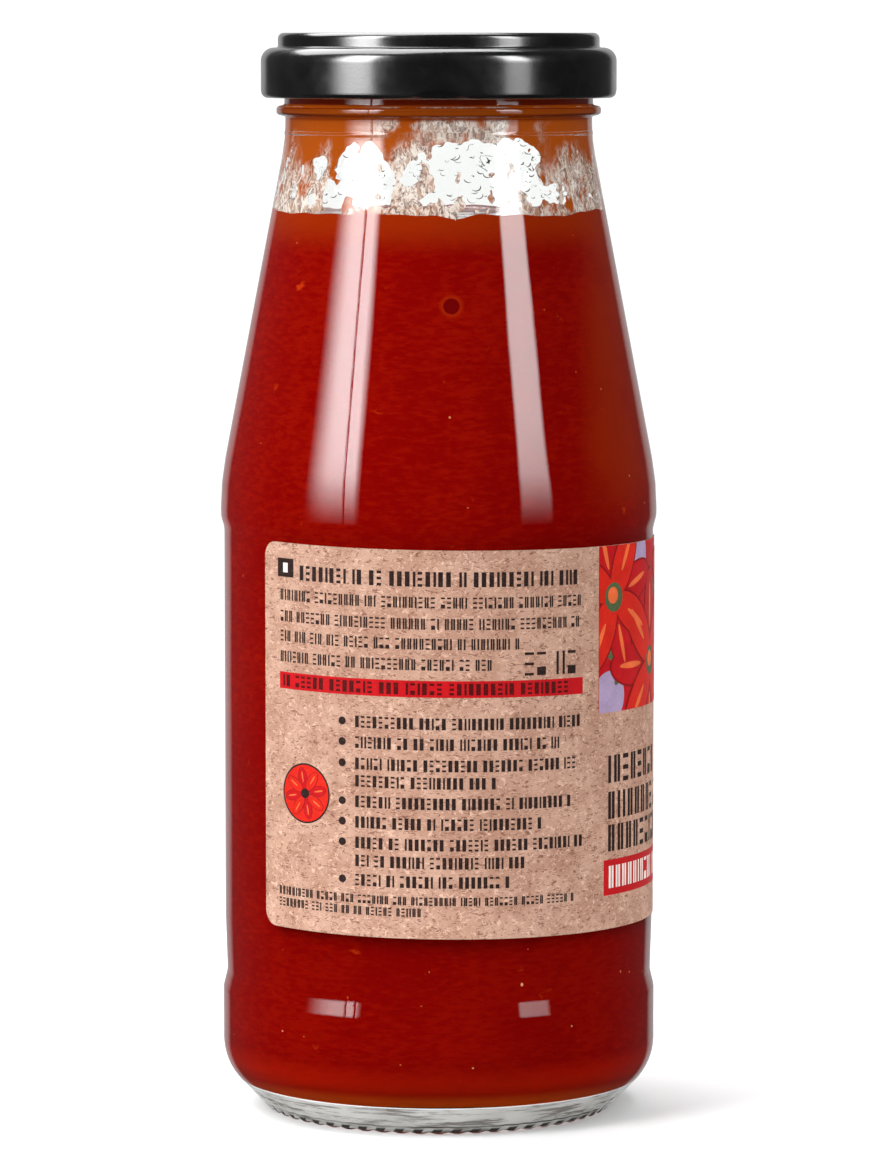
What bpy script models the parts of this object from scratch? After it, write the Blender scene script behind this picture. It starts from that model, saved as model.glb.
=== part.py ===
# A shut bottle of passata: clear glass, tomato passata inside, a twist-off lid and a paper label.
# Metres, +Z up. The origin is on the surface it stands on, below the middle of the bottle.
# -Y is the front, where the label's printed side panel shows.

import math

import bmesh
import bpy

MM = 0.001

# Turning and rounding
SEGMENTS = 56
ARC_ERROR = 0.08 * MM
WELD = 0.0001
FIT_GAP = 0.3 * MM
SHARP_ANGLE = math.radians(40)
FRONT = math.radians(-90)

# Glass, outside
CONTACT_INNER_RADIUS = 25.5 * MM
CONTACT_OUTER_RADIUS = 27.5 * MM
BODY_RADIUS = 34.5 * MM
SHOULDER_RING_RADIUS = 34.65 * MM
PANEL_RADIUS = 33.85 * MM
HEEL_HEIGHT = 7.2 * MM
HEEL_ROUND = 9.0 * MM
PANEL_LOW = 22.6 * MM
PANEL_LOW_ROUND = 3.0 * MM
PANEL_HIGH = 92.8 * MM
PANEL_HIGH_ROUND = 1.8 * MM
STEP_HEIGHT = 1.5 * MM
SHOULDER_HEIGHT = 100.0 * MM
SHOULDER_ROUND = 55.0 * MM
NECK_HEIGHT = 154.3 * MM
NECK_RADIUS = 24.25 * MM
NECK_ROUND = 26.0 * MM
BEAD_RADIUS = 25.65 * MM
BEAD_HEIGHT = 158.8 * MM
BEAD_THICKNESS = 1.9 * MM
BEAD_ROUND = 0.45 * MM
FINISH_RADIUS = 24.4 * MM
RIM_HEIGHT = 170.1 * MM
RIM_ROUND = 0.9 * MM

# Glass, inside and below
WALL = 2.3 * MM
INNER_RADIUS = 32.0 * MM
BORE_RADIUS = 22.0 * MM
FLOOR_EDGE_HEIGHT = 5.6 * MM
FLOOR_CENTRE_HEIGHT = 6.6 * MM
FLOOR_ROUND = 8.5 * MM
PUSH_UP = 2.6 * MM
PUSH_UP_EDGE = 1.3 * MM
PUSH_UP_ROUND = 2.0 * MM

# Threads on the finish, one for each lug of the lid
LUGS = 4
THREAD_RADIUS = 25.9 * MM
THREAD_LOW = 162.9 * MM
THREAD_THICKNESS = 1.3 * MM
THREAD_SPAN = math.radians(54)
THREAD_RISE = 1.1 * MM
BLOCK_ROOT = 0.8 * MM
BLOCK_STEP = math.radians(9)
BLOCK_END_TAPER = 0.35

# Passata
FILL_HEIGHT = 142.7 * MM

# Lid
LID_TOP = 171.0 * MM
LID_LOW = 160.8 * MM
LID_RADIUS = 28.1 * MM
LID_WALL = 0.5 * MM
LID_LEDGE = 168.7 * MM
LID_SHOULDER_ROUND = 2.0 * MM
LID_RING_RADIUS = 25.4 * MM
LID_RING_INNER_RADIUS = 22.2 * MM
LID_RING_ROUND = 0.9 * MM
LID_FINE_ROUND = 0.4 * MM
LID_PANEL = 169.8 * MM
LID_WELL_SLOPE = 0.8 * MM
BUTTON_RADIUS = 11.0 * MM
BUTTON_SLOPE = 1.0 * MM
BUTTON_RISE = 0.4 * MM
CURL_HEIGHT = 1.5 * MM
CURL_DEPTH = 1.6 * MM
CURL_ROUND = 0.5 * MM
LUG_RADIUS = 25.3 * MM
LUG_LOW = 161.2 * MM
LUG_THICKNESS = 0.9 * MM
LUG_SPAN = math.radians(22)

# Label, with heights at the front, stuck on very slightly askew
LABEL_LOW = 31.9 * MM
LABEL_HIGH = 92.1 * MM
LABEL_DROP = 0.013
LABEL_THICKNESS = 0.15 * MM
LABEL_START = math.radians(-51.9)
LABEL_SWEEP = math.radians(300)
LABEL_CORNER = 2.4 * MM
LABEL_CORNER_STEPS = 4


# Materials

def material(name, colour, roughness, metallic=0.0, transmission=0.0):
    made = bpy.data.materials.new(name)
    made.use_nodes = True
    shader = made.node_tree.nodes["Principled BSDF"]
    shader.inputs["Base Color"].default_value = (*colour, 1.0)
    shader.inputs["Roughness"].default_value = roughness
    shader.inputs["Metallic"].default_value = metallic
    shader.inputs["Transmission Weight"].default_value = transmission
    made.diffuse_color = (*colour, 1.0)
    return made


# Outlines

def rounded(corners):
    """Points of an outline given as (radius, height, rounding), with an arc at each rounded corner."""
    points = []
    for index, (x, z, rounding) in enumerate(corners):
        if rounding == 0:
            points.append((x, z))
            continue
        before = corners[index - 1]
        after = corners[index + 1]
        in_x, in_z = unit(x - before[0], z - before[1])
        out_x, out_z = unit(after[0] - x, after[1] - z)
        turn = math.atan2(in_x * out_z - in_z * out_x, in_x * out_x + in_z * out_z)
        reach = rounding * math.tan(abs(turn) / 2)
        side = math.copysign(1.0, turn)
        centre_x = x - in_x * reach - in_z * rounding * side
        centre_z = z - in_z * reach + in_x * rounding * side
        widest_step = 2 * math.acos(1 - ARC_ERROR / rounding)
        steps = max(1, math.ceil(abs(turn) / widest_step))
        for step in range(steps + 1):
            angle = turn * step / steps
            spoke_x = in_z * rounding * side
            spoke_z = -in_x * rounding * side
            points.append((
                centre_x + spoke_x * math.cos(angle) - spoke_z * math.sin(angle),
                centre_z + spoke_x * math.sin(angle) + spoke_z * math.cos(angle),
            ))
    return points


def unit(x, z):
    length = math.hypot(x, z)
    return x / length, z / length


# Solids

def keep(name, mesh, finish):
    mesh.materials.clear()
    mesh.materials.append(finish)
    made = bpy.data.objects.new(name, mesh)
    bpy.context.scene.collection.objects.link(made)
    return made


def turned(name, outline, finish):
    """A solid of revolution. The outline runs from the axis to the axis, down the outer side."""
    mesh = bpy.data.meshes.new(name)
    edges = [(index, index + 1) for index in range(len(outline) - 1)]
    mesh.from_pydata([(x, 0.0, z) for x, z in outline], edges, [])
    made = keep(name, mesh, finish)
    screw = made.modifiers.new("turn", "SCREW")
    screw.axis = "Z"
    screw.steps = SEGMENTS
    screw.render_steps = SEGMENTS
    screw.use_merge_vertices = True
    screw.merge_threshold = WELD
    screw.use_smooth_shade = True
    return made


def arc_block(name, inner, outer, low, thickness, middle, span, rise):
    """A short piece of a ring round the axis, which climbs by rise from one end to the other."""
    steps = math.ceil(span / BLOCK_STEP)
    shape = bmesh.new()
    rings = []
    for step in range(steps + 1):
        part = step / steps
        angle = middle + span * (part - 0.5)
        lift = low + rise * (part - 0.5)
        taper = BLOCK_END_TAPER if step in (0, steps) else 1.0
        reach = inner + (outer - inner) * taper
        section = [(inner, lift), (reach, lift), (reach, lift + thickness), (inner, lift + thickness)]
        rings.append([
            shape.verts.new((x * math.cos(angle), x * math.sin(angle), z)) for x, z in section
        ])
    for near, far in zip(rings, rings[1:]):
        for side in range(4):
            following = (side + 1) % 4
            shape.faces.new((near[side], near[following], far[following], far[side]))
    shape.faces.new(reversed(rings[0]))
    shape.faces.new(rings[-1])
    bmesh.ops.recalc_face_normals(shape, faces=shape.faces)
    mesh = bpy.data.meshes.new(name)
    shape.to_mesh(mesh)
    shape.free()
    return mesh


def add_blocks(body, blocks, finish):
    """Joins the blocks to the body as one closed solid."""
    group = bpy.data.collections.new(body.name + "_additions")
    bpy.context.scene.collection.children.link(group)
    for number, mesh in enumerate(blocks):
        mesh.materials.append(finish)
        block = bpy.data.objects.new(f"{body.name}_addition_{number}", mesh)
        block.hide_render = True
        block.display_type = "WIRE"
        group.objects.link(block)
    union = body.modifiers.new("additions", "BOOLEAN")
    union.operation = "UNION"
    union.solver = "EXACT"
    union.operand_type = "COLLECTION"
    union.collection = group


def lug_angles():
    return [FRONT + math.tau * number / LUGS for number in range(LUGS)]


# Glass bottle

def cone_radius(height):
    """Outside radius of the shoulder's straight slope at a height."""
    slope = (SHOULDER_RING_RADIUS - NECK_RADIUS) / (NECK_HEIGHT - SHOULDER_HEIGHT)
    return SHOULDER_RING_RADIUS - slope * (height - SHOULDER_HEIGHT)


def cone_height(radius):
    """Height at which the shoulder's straight slope has a radius."""
    slope = (SHOULDER_RING_RADIUS - NECK_RADIUS) / (NECK_HEIGHT - SHOULDER_HEIGHT)
    return SHOULDER_HEIGHT + (SHOULDER_RING_RADIUS - radius) / slope


def cavity(inset):
    """Inside of the glass from the floor's middle to the shoulder, moved towards the passata by inset."""
    wall = INNER_RADIUS - inset
    return [
        (0.0, FLOOR_CENTRE_HEIGHT + inset, 0),
        (wall, FLOOR_EDGE_HEIGHT + inset, FLOOR_ROUND),
        (wall, cone_height(INNER_RADIUS + WALL), SHOULDER_ROUND),
    ]


def glass_outline():
    bead_edge = BEAD_THICKNESS / 2 - BEAD_ROUND
    inside = cavity(0.0) + [
        (BORE_RADIUS, cone_height(BORE_RADIUS + WALL), NECK_ROUND),
        (BORE_RADIUS, RIM_HEIGHT, RIM_ROUND),
    ]
    outside = [
        (FINISH_RADIUS, RIM_HEIGHT, RIM_ROUND),
        (FINISH_RADIUS, BEAD_HEIGHT + BEAD_THICKNESS / 2, 0),
        (BEAD_RADIUS, BEAD_HEIGHT + bead_edge, BEAD_ROUND),
        (BEAD_RADIUS, BEAD_HEIGHT - bead_edge, BEAD_ROUND),
        (NECK_RADIUS, BEAD_HEIGHT - BEAD_THICKNESS / 2, 0),
        (NECK_RADIUS, NECK_HEIGHT, NECK_ROUND),
        (SHOULDER_RING_RADIUS, SHOULDER_HEIGHT, SHOULDER_ROUND),
        (SHOULDER_RING_RADIUS, PANEL_HIGH + STEP_HEIGHT, PANEL_HIGH_ROUND),
        (PANEL_RADIUS, PANEL_HIGH, PANEL_HIGH_ROUND),
        (PANEL_RADIUS, PANEL_LOW, PANEL_LOW_ROUND),
        (BODY_RADIUS, PANEL_LOW - STEP_HEIGHT, PANEL_LOW_ROUND),
        (BODY_RADIUS, HEEL_HEIGHT, HEEL_ROUND),
        (CONTACT_OUTER_RADIUS, 0.0, 0),
        (CONTACT_INNER_RADIUS, 0.0, 0),
        (CONTACT_INNER_RADIUS - PUSH_UP_EDGE, PUSH_UP_EDGE, PUSH_UP_ROUND),
        (0.0, PUSH_UP, 0),
    ]
    return rounded(inside + outside)


def build_glass(finish):
    glass = turned("glass_bottle", glass_outline(), finish)
    threads = [
        arc_block(
            "thread", FINISH_RADIUS - BLOCK_ROOT, THREAD_RADIUS, THREAD_LOW, THREAD_THICKNESS,
            angle, THREAD_SPAN, THREAD_RISE,
        )
        for angle in lug_angles()
    ]
    add_blocks(glass, threads, finish)


# Passata

def build_passata(finish):
    corners = cavity(FIT_GAP) + [
        (cone_radius(FILL_HEIGHT) - WALL - FIT_GAP, FILL_HEIGHT, 0),
        (0.0, FILL_HEIGHT, 0),
    ]
    turned("passata", rounded(corners)[::-1], finish)


# Lid

def lid_outline():
    curl_inside = LID_RADIUS - CURL_DEPTH
    curl_top = LID_LOW + CURL_HEIGHT
    well = LID_RING_INNER_RADIUS - LID_WELL_SLOPE
    top = [
        (0.0, LID_PANEL + BUTTON_RISE, 0),
        (BUTTON_RADIUS, LID_PANEL + BUTTON_RISE, 0),
        (BUTTON_RADIUS + BUTTON_SLOPE, LID_PANEL, 0),
        (well, LID_PANEL, 0),
        (LID_RING_INNER_RADIUS, LID_TOP, LID_FINE_ROUND),
        (LID_RING_RADIUS, LID_TOP, LID_RING_ROUND),
        (LID_RING_RADIUS, LID_LEDGE, LID_FINE_ROUND),
        (LID_RADIUS, LID_LEDGE, LID_SHOULDER_ROUND),
        (LID_RADIUS, LID_LOW, CURL_ROUND),
    ]
    underside = [
        (curl_inside, LID_LOW, CURL_ROUND),
        (curl_inside, curl_top, CURL_ROUND),
        (LID_RADIUS - LID_WALL, curl_top, 0),
        (LID_RADIUS - LID_WALL, LID_LEDGE - LID_WALL, LID_SHOULDER_ROUND - LID_WALL),
        (LID_RING_RADIUS - LID_WALL, LID_LEDGE - LID_WALL, 0),
        (LID_RING_RADIUS - LID_WALL, LID_TOP - LID_WALL, LID_FINE_ROUND),
        (LID_RING_INNER_RADIUS + LID_WALL / 2, LID_TOP - LID_WALL, 0),
        (well + LID_WALL / 4, LID_PANEL - LID_WALL, 0),
        (BUTTON_RADIUS + BUTTON_SLOPE, LID_PANEL - LID_WALL, 0),
        (BUTTON_RADIUS, LID_PANEL - LID_WALL + BUTTON_RISE, 0),
        (0.0, LID_PANEL - LID_WALL + BUTTON_RISE, 0),
    ]
    return rounded(top + underside)


def build_lid(finish):
    lid = turned("lid", lid_outline(), finish)
    lugs = [
        arc_block(
            "lug", LUG_RADIUS, LID_RADIUS - CURL_DEPTH + BLOCK_ROOT, LUG_LOW,
            LUG_THICKNESS, angle, LUG_SPAN, 0.0,
        )
        for angle in lug_angles()
    ]
    add_blocks(lid, lugs, finish)


# Label

def label_edge():
    """Lower edge of the flat label as (distance round the bottle, height), with its rounded corners."""
    width = LABEL_SWEEP * (PANEL_RADIUS + FIT_GAP)
    columns = math.ceil(LABEL_SWEEP / math.tau * SEGMENTS)
    corner = []
    for step in range(LABEL_CORNER_STEPS + 1):
        angle = math.radians(90) * step / LABEL_CORNER_STEPS
        corner.append((LABEL_CORNER * (1 - math.cos(angle)), LABEL_CORNER * (1 - math.sin(angle))))
    span = width - 2 * LABEL_CORNER
    middle = [(LABEL_CORNER + span * column / columns, 0.0) for column in range(1, columns)]
    return corner + middle + [(width - x, z) for x, z in reversed(corner)]


def build_label(finish):
    inner_radius = PANEL_RADIUS + FIT_GAP
    edge = label_edge()
    shape = bmesh.new()
    rows = []
    for radius, high in (
        (inner_radius, False),
        (inner_radius + LABEL_THICKNESS, False),
        (inner_radius + LABEL_THICKNESS, True),
        (inner_radius, True),
    ):
        row = []
        for distance, lift in edge:
            turn = LABEL_START + distance / inner_radius
            z = LABEL_HIGH - lift if high else LABEL_LOW + lift
            z -= LABEL_DROP * inner_radius * turn
            angle = FRONT + turn
            row.append(shape.verts.new((radius * math.cos(angle), radius * math.sin(angle), z)))
        rows.append(row)
    for near, far in zip(rows, rows[1:] + rows[:1]):
        for index in range(len(edge) - 1):
            shape.faces.new((near[index], near[index + 1], far[index + 1], far[index]))
    for index in (0, -1):
        shape.faces.new([row[index] for row in rows])
    bmesh.ops.recalc_face_normals(shape, faces=shape.faces)
    mesh = bpy.data.meshes.new("label")
    shape.to_mesh(mesh)
    shape.free()
    mesh.shade_smooth()
    mesh.set_sharp_from_angle(angle=SHARP_ANGLE)
    keep("label", mesh, finish)


def main():
    for old in list(bpy.data.objects):
        bpy.data.objects.remove(old, do_unlink=True)
    build_glass(material("clear_glass", (0.92, 0.95, 0.93), 0.03, transmission=1.0))
    build_passata(material("tomato_passata", (0.26, 0.008, 0.002), 0.35))
    build_lid(material("black_lacquer", (0.012, 0.012, 0.013), 0.18, metallic=0.2))
    build_label(material("kraft_paper", (0.55, 0.36, 0.26), 0.8))


main()
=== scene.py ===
# Looks of a shut bottle of passata: glass, sauce, film above the fill line, lid, label and its printing.
import math
import random

import bpy
from mathutils import Matrix, Vector, noise


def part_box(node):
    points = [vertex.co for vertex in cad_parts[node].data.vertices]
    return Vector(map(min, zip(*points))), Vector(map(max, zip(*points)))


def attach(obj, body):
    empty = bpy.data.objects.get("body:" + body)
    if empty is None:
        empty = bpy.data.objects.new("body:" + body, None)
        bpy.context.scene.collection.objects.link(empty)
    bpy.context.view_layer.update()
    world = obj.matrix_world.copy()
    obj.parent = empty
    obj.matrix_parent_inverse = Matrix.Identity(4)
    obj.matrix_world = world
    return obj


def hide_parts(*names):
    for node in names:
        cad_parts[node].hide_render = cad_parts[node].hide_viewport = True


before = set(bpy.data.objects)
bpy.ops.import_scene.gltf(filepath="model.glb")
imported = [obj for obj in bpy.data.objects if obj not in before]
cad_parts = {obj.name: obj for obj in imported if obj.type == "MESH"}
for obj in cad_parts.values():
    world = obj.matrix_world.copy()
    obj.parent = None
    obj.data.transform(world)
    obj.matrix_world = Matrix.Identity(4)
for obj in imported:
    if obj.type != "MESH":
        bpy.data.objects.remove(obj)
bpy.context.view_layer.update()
mm = 0.001
full = math.tau
degree = math.radians(1)
print("frame loaded")

# What the pieces share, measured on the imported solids
lidLow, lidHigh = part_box("lid")
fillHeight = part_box("passata")[1].z
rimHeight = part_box("glass_bottle")[1].z
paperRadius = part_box("label")[1].x  # outer face of the paper
labelDrop = 0.013  # the label slopes down to the right by this share of its length
printStep = 0.008 * mm  # height of one layer of ink


# Small helpers for points and outlines

def onBottle(radius, azimuth, height):
    # azimuth 0 faces the viewer, and grows towards the viewer's right
    return (radius * math.sin(azimuth), -radius * math.cos(azimuth), height)


def smooth(low, high, value):
    share = min(max((value - low) / (high - low), 0.0), 1.0)
    return share * share * (3 - 2 * share)


def hump(distance, reach):
    # 1 at the middle, 0 from reach onwards
    share = abs(distance) / reach
    return 0.0 if share >= 1 else (1 - share * share) ** 2


def turnGap(a, b):
    # shortest way between two azimuths
    return (a - b + math.pi) % full - math.pi


def bumpy(azimuth, height, size, seed, radius=23 * mm):
    # smooth noise on the neck's wall, about -1 to 1, with lumps of a given size
    spot = Vector(onBottle(radius, azimuth, height)) / size
    return noise.noise(spot + Vector((seed, seed * 0.7, 0.0)))


def roundedOutline(corners, arcStep=4 * degree):
    # corners are (radius, height, rounding), and each rounded corner turns into an arc
    points = []
    for index, (x, z, rounding) in enumerate(corners):
        here = Vector((x, z))
        if rounding == 0 or index == len(corners) - 1:
            points.append(here)
            continue
        before = (here - Vector(corners[index - 1][:2])).normalized()
        after = (Vector(corners[index + 1][:2]) - here).normalized()
        turn = math.atan2(before.x * after.y - before.y * after.x, before.dot(after))
        side = math.copysign(1.0, turn)
        reach = rounding * math.tan(abs(turn) / 2)
        start = here - before * reach
        centre = start + Vector((-before.y, before.x)) * rounding * side
        steps = max(2, math.ceil(abs(turn) / arcStep))
        for step in range(steps + 1):
            points.append(centre + Matrix.Rotation(turn * step / steps, 2) @ (start - centre))
    return points


def densified(points, longest, low=-1.0, high=1.0):
    # extra points wherever a run between two heights is longer than longest
    made = [points[0]]
    for here, there in zip(points, points[1:]):
        inside = min(here.y, there.y) < high and max(here.y, there.y) > low
        parts = math.ceil((there - here).length / longest) if inside else 1
        made.extend(here.lerp(there, part / parts) for part in range(1, parts + 1))
    return made


def azimuthSteps(count, fineSpots=()):
    # evenly spaced azimuths, with closer ones round each (middle, half width, step)
    steps = {round(full * index / count, 7) for index in range(count)}
    for middle, halfWidth, step in fineSpots:
        parts = round(halfWidth / step)
        steps |= {round((middle + part * step) % full, 7) for part in range(-parts, parts + 1)}
    kept = []
    for azimuth in sorted(steps):
        if not kept or azimuth - kept[-1] > 1e-4:
            kept.append(azimuth)
    return kept


# Small helpers for meshes

def addObject(name, data):
    made = bpy.data.objects.new(name, data)
    bpy.context.scene.collection.objects.link(made)
    return made


def newPiece(name, points, faces, material, slotName, sharp=40):
    mesh = bpy.data.meshes.new(name)
    mesh.from_pydata(points, [], faces)
    mesh.materials.append(material)
    mesh.shade_smooth()
    mesh.set_sharp_from_angle(angle=math.radians(sharp))
    made = addObject(name, mesh)
    if slotName:
        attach(made, "root")
    return made


def turnedMesh(outline, azimuths, shift=None, closed=False):
    # turns an outline that starts and ends on the axis, or closes on itself, running down its outer side
    points = []
    rows = []
    for place in outline:
        if abs(place.x) < 1e-9:
            rows.append([len(points)])
            points.append((0.0, 0.0, place.y))
            continue
        row = []
        for azimuth in azimuths:
            radius, height = (place.x, place.y) if shift is None else shift(place.x, place.y, azimuth)
            row.append(len(points))
            points.append(onBottle(radius, azimuth, height))
        rows.append(row)
    faces = []
    columns = len(azimuths)
    for upper, lower in zip(rows, rows[1:] + rows[:1] if closed else rows[1:]):
        for column in range(columns):
            following = (column + 1) % columns
            if len(upper) == 1:
                faces.append((upper[0], lower[column], lower[following]))
            elif len(lower) == 1:
                faces.append((upper[column], lower[0], upper[following]))
            else:
                faces.append((upper[column], lower[column], lower[following], upper[following]))
    return points, faces


def barFaces(first, sections):
    # faces of a closed bar whose sections have four points each
    faces = []
    last = first + 4 * (sections - 1)
    for a in range(first, last, 4):
        b = a + 4
        faces += [
            (a + 2, b + 2, b + 3, a + 3), (a, a + 1, b + 1, b),
            (a, b, b + 2, a + 2), (a + 1, a + 3, b + 3, b + 1),
        ]
    return faces + [(first, first + 2, first + 3, first + 1), (last, last + 1, last + 3, last + 2)]


class Shells:
    # thin closed patches that lie round the label, gathered in one mesh and drawn in millimetres
    def __init__(self, innerRadius, outerRadius):
        self.innerRadius = innerRadius
        self.outerRadius = outerRadius
        self.points = []
        self.faces = []

    def addColumns(self, columns):
        # columns are (distance round the label, low, high), from left to right
        self.faces += barFaces(len(self.points), len(columns))
        for distance, low, high in columns:
            azimuth = distance * mm / paperRadius
            for radius in (self.innerRadius, self.outerRadius):
                for height in (low, high):
                    self.points.append(onBottle(radius, azimuth, (height - labelDrop * distance) * mm))

    def at(self, layer):
        # shapes added from now on lie in this layer of ink
        self.outerRadius = paperRadius + printStep * layer
        return self

    def addBox(self, left, right, low, high):
        parts = max(1, math.ceil((right - left) / 0.6))  # short steps, so that it follows the curve
        self.addColumns([(left + (right - left) * part / parts, low, high) for part in range(parts + 1)])

    def addOval(self, middle, height, halfWidth, halfHeight, tilt=0.0, window=None, parts=40):
        # an ellipse, turned by tilt, and cut to window = (left, right, low, high)
        along = math.hypot(halfWidth * math.cos(tilt), halfHeight * math.sin(tilt))
        columns = []
        for part in range(parts + 1):
            offset = -along * math.cos(math.pi * part / parts) * 0.9995
            a = (math.sin(tilt) / halfWidth) ** 2 + (math.cos(tilt) / halfHeight) ** 2
            b = 2 * offset * math.cos(tilt) * math.sin(tilt) * (halfWidth ** -2 - halfHeight ** -2)
            c = offset ** 2 * ((math.cos(tilt) / halfWidth) ** 2 + (math.sin(tilt) / halfHeight) ** 2) - 1
            root = math.sqrt(max(b * b - 4 * a * c, 0.0))
            low = height + (-b - root) / (2 * a)
            high = height + (-b + root) / (2 * a)
            distance = middle + offset
            if window:
                left, right, floor, ceiling = window
                if not left <= distance <= right:
                    continue
                low = max(low, floor)
                high = min(high, ceiling)
            if high - low > 0.01:
                columns.append((distance, low, high))
        if len(columns) > 1:
            self.addColumns(columns)


# Small helpers for materials

def newMaterial(name, values):
    made = bpy.data.materials.new(name)
    made.use_nodes = True
    for socket, value in values.items():
        made.node_tree.nodes["Principled BSDF"].inputs[socket].default_value = value
    return made, made.node_tree


def painted(made, colour, bump=None, roughness=None, alpha=None):
    # links what was drawn into the main shader, where bump is a height with its depth
    tree = made.node_tree
    drawn = {"Base Color": colour, "Roughness": roughness, "Alpha": alpha}
    if bump:
        inputs = {"Height": bump[0], "Distance": bump[1], "Strength": 1.0}
        drawn["Normal"] = addNode(tree, "Bump", inputs).outputs[0]
    for name, value in drawn.items():
        if value is not None:
            tree.links.new(value, tree.nodes["Principled BSDF"].inputs[name])
    return made


def addNode(tree, kind, inputs=None, **settings):
    made = tree.nodes.new("ShaderNode" + kind)
    for name, value in settings.items():
        setattr(made, name, value)
    for name, value in (inputs or {}).items():
        if isinstance(value, bpy.types.NodeSocket):
            tree.links.new(value, made.inputs[name])
        else:
            made.inputs[name].default_value = value
    return made


def placeOf(tree, stretch=(1, 1, 1), turn=(0, 0, 0)):
    where = addNode(tree, "TexCoord").outputs["Object"]
    return addNode(tree, "Mapping", {"Vector": where, "Scale": stretch, "Rotation": turn}).outputs[0]


def axesOf(tree):
    return addNode(tree, "SeparateXYZ", {0: placeOf(tree)}).outputs


def noiseOf(tree, size, detail=3.0, roughness=0.55, stretch=(1, 1, 1), distortion=0.0, turn=(0, 0, 0)):
    # size is that of one lump, in metres
    return addNode(tree, "TexNoise", {
        "Vector": placeOf(tree, stretch, turn), "Scale": 1 / size,
        "Detail": detail, "Roughness": roughness, "Distortion": distortion,
    }).outputs["Fac"]


# The helpers below find the node tree through the sockets that they are given

def mapped(value, fromLow, fromHigh, toLow=0.0, toHigh=1.0):
    return addNode(value.id_data, "MapRange", {
        "Value": value, "From Min": fromLow, "From Max": fromHigh, "To Min": toLow, "To Max": toHigh,
    }, interpolation_type="SMOOTHSTEP").outputs[0]


def mixed(factor, first, second):
    # the colours are sockets or triples
    a, b = (value if isinstance(value, bpy.types.NodeSocket) else (*value, 1.0) for value in (first, second))
    return addNode(factor.id_data, "Mix", {0: factor, 6: a, 7: b}, data_type="RGBA").outputs[2]


def layered(look, colour, *layers):
    # lays colours of a look over one another, each as (share, name)
    for share, name in layers:
        colour = mixed(share, colour, look[name])
    return colour


def scaled(colour, share):
    return tuple(share * channel for channel in colour)


def mathOf(operation, first, second=0.0):
    tree = next(value.id_data for value in (first, second) if isinstance(value, bpy.types.NodeSocket))
    return addNode(tree, "Math", {0: first, 1: second}, operation=operation).outputs[0]


def product(first, *others):
    for value in others:
        first = mathOf("MULTIPLY", first, value)
    return first


def crossing(value, width, share=1.0):
    # thin curved lines where a noise crosses its middle
    away = mathOf("ABSOLUTE", mathOf("SUBTRACT", value, 0.5))
    return mapped(away, width, width * 0.3, 0.0, share)


def plainMaterial(name, roughness, first, second):
    # two colours in soft clouds, without gloss
    made, tree = newMaterial(name, {"Roughness": roughness, "Specular IOR Level": 0.0})
    return painted(made, mixed(mapped(noiseOf(tree, 4 * mm, 2.0), 0.4, 0.6), first, second))


# Glass: the same main shape as the solid, with seams, threads, knurling and uneven insides

glassShape = {
    "bodyRadius": 34.5 * mm,
    "panelRadius": paperRadius - 0.18 * mm,
    "ringRadius": 34.65 * mm,
    "heelHeight": 7.2 * mm,
    "heelRound": 9.0 * mm,
    "contactOuter": 27.5 * mm,
    "contactInner": 25.5 * mm,
    "footRadius": 33.85 * mm,
    "panelLow": 21.8 * mm,
    "panelHigh": 92.8 * mm,
    "stepLow": 2.7 * mm,
    "stepHigh": 1.9 * mm,
    "shoulderHeight": 100.0 * mm,
    "neckHeight": 154.3 * mm,
    "neckRadius": 24.25 * mm,
    "beadRadius": 25.65 * mm,
    "beadHeight": 158.8 * mm,
    "finishRadius": 24.4 * mm,
    "wall": 2.3 * mm,
    "innerRadius": 32.0 * mm,
    "boreRadius": 22.0 * mm,
    "floorEdge": 5.6 * mm,
    "floorMiddle": 6.6 * mm,
    "floorRound": 8.5 * mm,
    "pushUp": 2.6 * mm,
    "seams": (-25.2 * degree, 154.8 * degree),
    "seamHeight": 0.04 * mm,
    "seamWidth": 0.21 * mm,
    "secondSeamTurn": 2.6 * degree,
    "mouldLine": 155.3 * mm,
    "threadRadius": 1.5 * mm,
    "threadMiddle": 163.4 * mm,
    "threadHalfHeight": 1.0 * mm,
    "threadSpan": 62 * degree,
    "threadRise": 2.6 * mm,
    "threads": 4,
    "knurls": 58,
    "knurlDepth": 0.26 * mm,
    "knurlSlant": 420.0,
}


def coneHeight(radius):
    g = glassShape
    share = (g["ringRadius"] - radius) / (g["ringRadius"] - g["neckRadius"])
    return g["shoulderHeight"] + (g["neckHeight"] - g["shoulderHeight"]) * share


def insideCorners(reach):
    # inside of the glass up to the neck, moved out into the wall by reach
    g = glassShape
    return [
        (0.0, g["floorMiddle"] - reach, 0),
        (g["innerRadius"] + reach, g["floorEdge"] - reach, g["floorRound"]),
        (g["innerRadius"] + reach, coneHeight(g["innerRadius"] + g["wall"]), 55 * mm),
        (g["boreRadius"] + reach, coneHeight(g["boreRadius"] + g["wall"]), 26 * mm),
        (g["boreRadius"] + reach, rimHeight, 0.9 * mm),
    ]


innerWall = roundedOutline(insideCorners(0.0))


def wallRadius(height, outline=innerWall):
    # radius of a wall at a height, read along its outline
    for here, there in zip(outline, outline[1:]):
        if here.y <= height <= there.y and there.y > here.y:
            return here.x + (there.x - here.x) * (height - here.y) / (there.y - here.y)
    return outline[-1].x


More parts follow.
